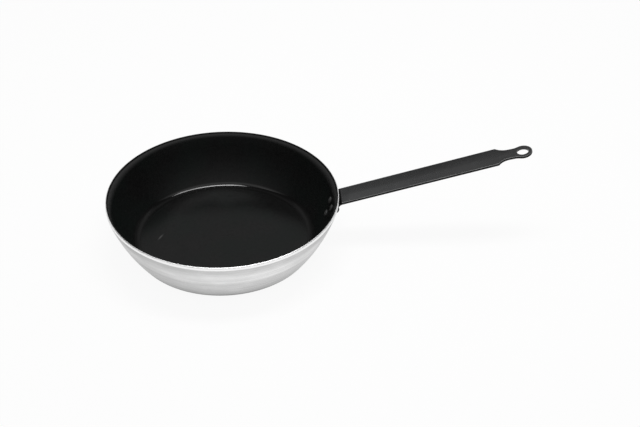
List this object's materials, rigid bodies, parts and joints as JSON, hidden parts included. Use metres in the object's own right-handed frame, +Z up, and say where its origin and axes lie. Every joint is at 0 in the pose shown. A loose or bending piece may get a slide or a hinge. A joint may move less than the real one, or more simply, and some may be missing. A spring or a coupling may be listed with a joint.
{
  "type": "deep frying pan",
  "caption": "Deep round frying pan with a bowl-shaped wall, black non-stick inside, bare metal outside and a long riveted strip handle that ends in a hanging eye.",
  "frame": {"origin": "centre of the base's underside", "axes": "+X along the handle away from the bowl, +Z up out of the bowl's mouth, +Y to the right of someone who holds the handle's end and faces the bowl"},
  "size_m": [0.5117, 0.28, 0.1155],
  "materials": {
    "bare_aluminium": "spun satin, with a bright turned rim",
    "nonstick": "satin black non-stick coating",
    "black_steel": "satin black coated steel strip",
    "rivet": "dark coated rivet"
  },
  "bodies": {
    "root": {"pan_body": "bare_aluminium", "nonstick_lining": "nonstick", "handle": "black_steel", "rivet_upper_left": "rivet", "rivet_upper_right": "rivet", "rivet_lower": "rivet"}
  },
  "joints": []
}
